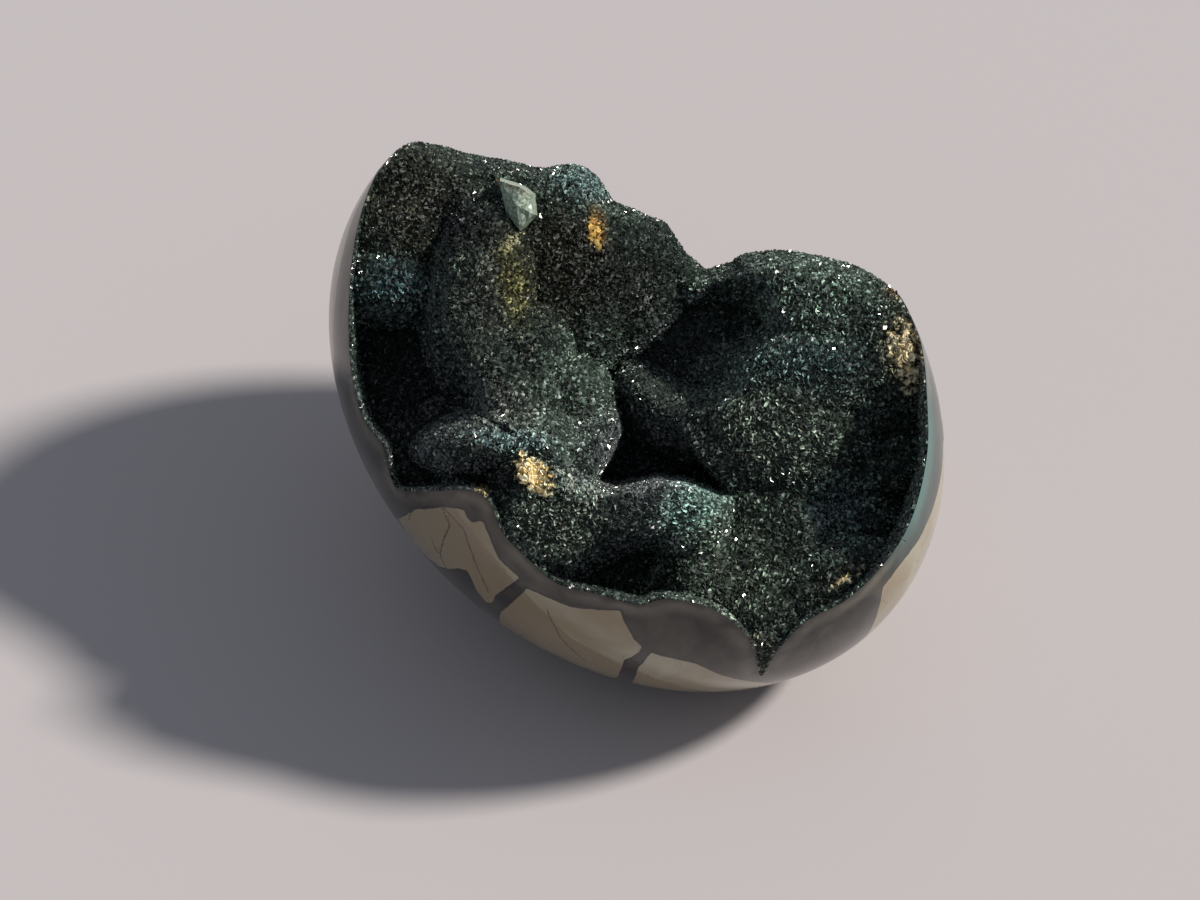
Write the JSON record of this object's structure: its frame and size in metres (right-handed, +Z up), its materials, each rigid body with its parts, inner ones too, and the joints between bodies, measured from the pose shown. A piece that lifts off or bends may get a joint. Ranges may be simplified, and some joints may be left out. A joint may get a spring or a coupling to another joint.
{
  "type": "septarian nodule",
  "caption": "Polished hollow septarian nodule: an ovoid stone with pale patches and dark veins, open on top onto a deep crystal-lined hollow.",
  "frame": {"origin": "on the surface that the nodule stands on, under the middle of its bounding box", "axes": "+X along the ovoid's long axis toward its lower end, +Z up; the opening faces up and toward -Y and +X"},
  "size_m": [0.1688, 0.1343, 0.1047],
  "materials": {
    "polished_stone": "ground and polished, pale patches parted by dark brown calcite veins",
    "green_crystals": "small dark green sparkling crystals, with one broken pale green crystal"
  },
  "bodies": {
    "root": {"nodule": "polished_stone", "druzy_crust": "green_crystals"}
  },
  "joints": []
}
